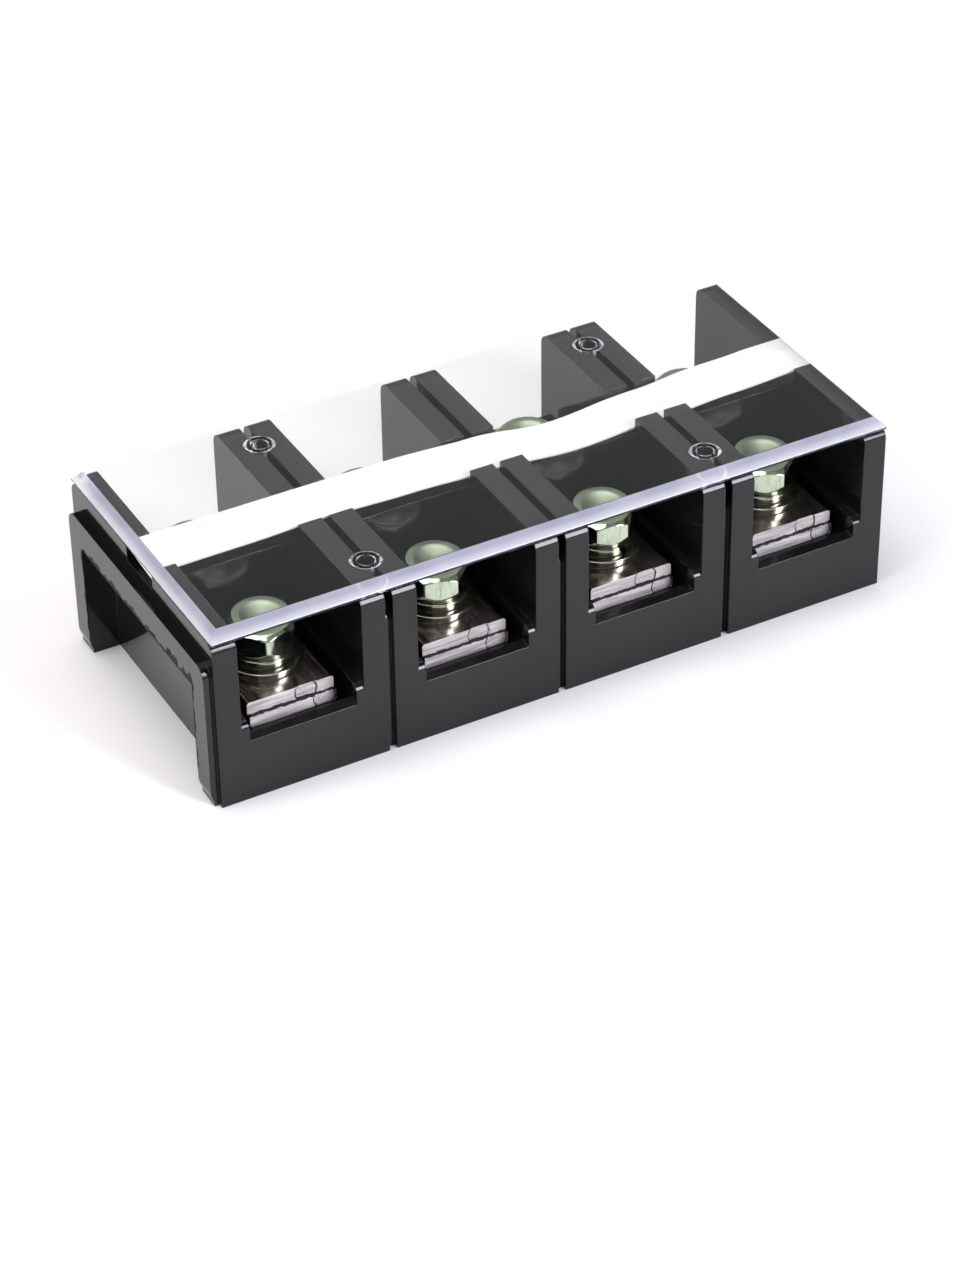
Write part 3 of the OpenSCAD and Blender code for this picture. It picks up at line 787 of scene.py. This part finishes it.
strip = {"shares": (0.70, 0.75, 0.88, 0.70, 0.45, 0.0, 0.30, 0.60, 0.85), "thickness": 0.4, "free": 2.9,
         "tilt": 0.8, "tiltFull": 0.5, "curl": 0.05, "curlAlong": 9, "curlAcross": 1.2, "rows": 260,
         "cols": 17, "crease": 40}


def makeStrip(s):
    # height = free * share + curl + tilt, held under free; between two shares a and b it eases:
    # a + (b - a) (1 - cos(pi t)) / 2
    low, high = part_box("marker_strip")
    share = np.array(s["shares"])
    u = np.linspace(0, 1, s["rows"])[:, None]
    v = np.linspace(-1, 1, s["cols"])[None, :]
    k = np.minimum((u * (share.size - 1)).astype(int), share.size - 2)
    t = u * (share.size - 1) - k
    lift = share[k] + (share[k + 1] - share[k]) * (1 - np.cos(np.pi * t)) / 2
    curl = np.clip(s["curl"] * v ** 2 * np.sin(s["curlAlong"] * u + s["curlAcross"] * v), 0, 1)
    tilt = s["tilt"] * (1 + v) / 2 * np.clip(lift / s["tiltFull"], 0, 1)
    base = low.z + np.minimum(s["free"] * lift + curl + tilt, s["free"]) * mm
    x = low.x + (high.x - low.x) * u
    y = (low.y + high.y) / 2 + (high.y - low.y) / 2 * v
    layers = [np.stack(np.broadcast_arrays(x, y, z), -1).reshape(-1, 3)
              for z in (base + s["thickness"] * mm, base)]
    n = s["rows"] * s["cols"]
    upper = gridFaces(s["rows"], s["cols"])[:, ::-1]
    ids = np.arange(n).reshape(s["rows"], s["cols"])
    border = np.concatenate([ids[0, :], ids[1:, -1], ids[-1, -2::-1], ids[-2:0:-1, 0]])
    after = np.roll(border, -1)
    sides = np.stack([border, after, after + n, border + n], -1)
    faces = np.concatenate([upper, upper[:, ::-1] + n, sides])
    piece = meshPiece("markerStrip", np.concatenate(layers), faces, whiteCard, "block")
    piece.data.set_sharp_from_angle(angle=math.radians(s["crease"]))
    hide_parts("marker_strip")


makeStrip(strip)
print("marker strip laid")


# Floor, light and camera

studio = {"floor": 4.0, "floorDrop": 0.00002, "floorTone": (0.86, 0.86, 0.86, 1),
          "floorDeep": (0.8557, 0.8557, 0.86, 1), "floorScale": 1.5, "floorRough": 0.6,
          "roomTone": (1.0, 1.0, 1.0, 1), "roomBack": 0.24, "roomFront": 0.22,
          "roomTurn": (-0.25, -0.90, 0.35), "roomSpan": (-0.5, 0.7), "lampAim": (0, 0, 0.02)}
softboxes = {
    "topSoftbox": {"place": (-0.27, 0.23, 1.43), "size": (1.5, 1.5), "power": 21.5,
                   "tone": (1.0, 0.97, 0.955)},
    "keySoftbox": {"place": (0.936, -1.95, 1.04), "size": (0.6, 1.3), "power": 50.0,
                   "tone": (0.88, 0.885, 1.0)},
    "leftSoftbox": {"place": (-1.0, -0.1, 0.4), "size": (0.9, 0.6), "power": 7.0,
                    "tone": (1.0, 0.985, 0.97)}}


def makeFloor(s):
    m, tree, shader = newMaterial("paleFloor")
    tint = addTint(tree, -900, 300, s["floorScale"], s["floorTone"], s["floorDeep"])
    feed(tree, shader, {"Base Color": tint, "Roughness": s["floorRough"]})
    h = s["floor"] / 2
    mesh = bpy.data.meshes.new("floor")
    mesh.from_pydata([(-h, -h, 0), (h, -h, 0), (h, h, 0), (-h, h, 0)], [], [(0, 1, 2, 3)])
    mesh.materials.append(m)
    floor = bpy.data.objects.new("floor", mesh)
    floor.location.z = -s["floorDrop"]
    bpy.context.scene.collection.objects.link(floor)


def addSoftbox(name, s, aim):
    data = bpy.data.lights.new(name, "AREA")
    data.shape = "RECTANGLE"
    data.size, data.size_y = s["size"]
    data.energy = s["power"]
    data.color = s["tone"]
    lamp = bpy.data.objects.new(name, data)
    lamp.location = s["place"]
    lamp.rotation_euler = (Vector(aim) - Vector(s["place"])).to_track_quat("-Z", "Y").to_euler()
    bpy.context.scene.collection.objects.link(lamp)


def makeWorld(s):
    # a plain room, whose strength goes from roomBack to roomFront with direction . roomTurn
    world = bpy.data.worlds.new("studio")
    world.use_nodes = True
    tree = world.node_tree
    along = addNode(tree, "ShaderNodeVectorMath", -700, 0, operation="DOT_PRODUCT")
    feed(tree, along, {0: addCoord(tree, -900, 0, "Generated"), 1: s["roomTurn"]})
    strength = addSpan(tree, -450, 0, along.outputs["Value"], s["roomSpan"], (s["roomBack"], s["roomFront"]))
    feed(tree, tree.nodes["Background"], {"Color": s["roomTone"], "Strength": strength})
    bpy.context.scene.world = world


makeFloor(studio)
makeWorld(studio)
for name, softbox in softboxes.items():
    addSoftbox(name, softbox, studio["lampAim"])

photo = {"width": 960, "height": 1280, "focal": 3662.98, "azimuth": -28.318, "elevation": 34.562,
         "roll": -0.8466, "distance": 0.7427, "aim": (0.000825, 0.0, 0.018915), "aimPixel": (484.44, 532.85),
         "sensor": 36.0, "clip": (0.01, 50.0)}


def makeCamera(p):
    # the camera looks at the aim, then turns so that the aim falls on its pixel, then rolls
    az, el = math.radians(p["azimuth"]), math.radians(p["elevation"])
    back = Vector((math.sin(az) * math.cos(el), -math.cos(az) * math.cos(el), math.sin(el)))
    right = Vector((0, 0, 1)).cross(back).normalized()
    up = back.cross(right)
    turn = Quaternion(up, math.atan2(p["aimPixel"][0] - p["width"] / 2, p["focal"]))
    right, behind = turn @ right, turn @ back
    tilt = Quaternion(right, -math.atan2(p["height"] / 2 - p["aimPixel"][1], p["focal"]))
    up, behind = tilt @ up, tilt @ behind
    c, s = math.cos(math.radians(p["roll"])), math.sin(math.radians(p["roll"]))
    place = Matrix((c * right + s * up, c * up - s * right, behind)).transposed().to_4x4()
    place.translation = Vector(p["aim"]) + back * p["distance"]
    data = bpy.data.cameras.new("photoCamera")
    data.sensor_width = p["sensor"]
    data.lens = p["focal"] / p["height"] * p["sensor"]
    data.clip_start, data.clip_end = p["clip"]
    camera = bpy.data.objects.new("photoCamera", data)
    camera.matrix_world = place
    bpy.context.scene.collection.objects.link(camera)
    bpy.context.scene.camera = camera


makeCamera(photo)
print("studio set")
